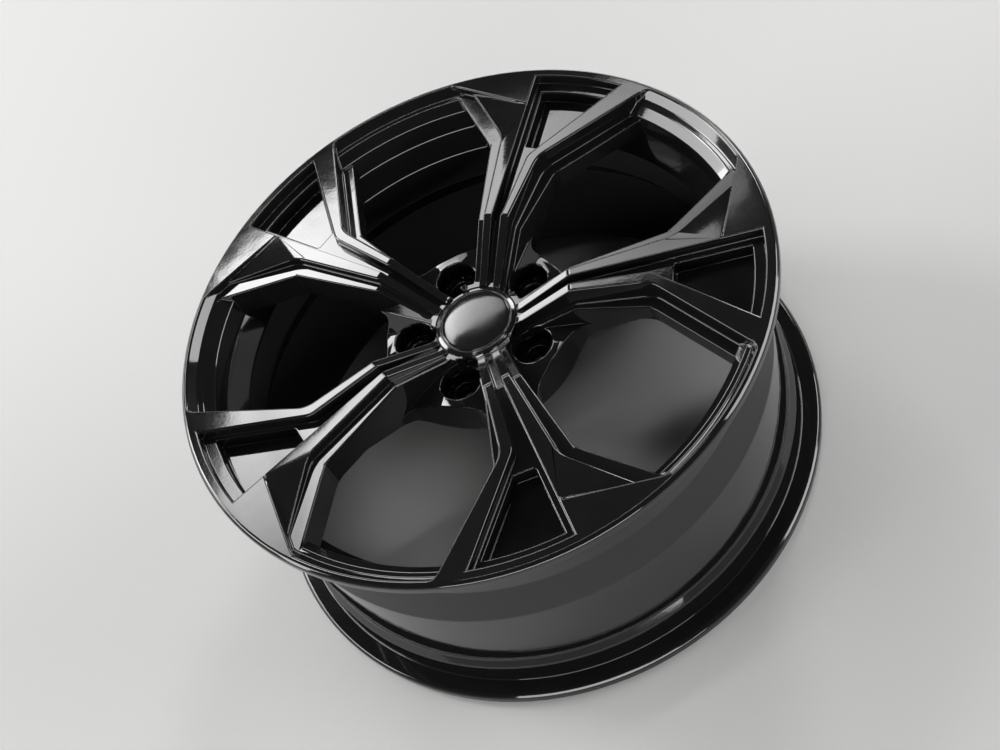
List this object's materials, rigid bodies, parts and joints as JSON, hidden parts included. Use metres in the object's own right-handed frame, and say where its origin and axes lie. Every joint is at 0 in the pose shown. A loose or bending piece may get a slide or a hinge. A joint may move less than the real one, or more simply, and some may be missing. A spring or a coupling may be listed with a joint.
{
  "type": "alloy wheel",
  "caption": "Cast alloy road wheel with asymmetric Y-shaped spokes in gloss black, a drop-centre rim and a snap-in centre cap.",
  "frame": {"origin": "middle of the plane that the inboard flange rests on, on the axle line", "axes": "+Z along the axle towards the styled face, which looks up; +X and +Y across the wheel, with one spoke's straight wall 10.6 degrees from +X"},
  "size_m": [0.5474, 0.5472, 0.2419],
  "materials": {
    "gloss_black_paint": "gloss black lacquer on cast aluminium",
    "gloss_black_plastic": "gloss black moulded plastic",
    "spring_steel": "bright flat spring ring"
  },
  "bodies": {
    "root": {"wheel": "gloss_black_paint", "centre_cap": "gloss_black_plastic", "cap_spring_ring": "spring_steel"}
  },
  "joints": []
}
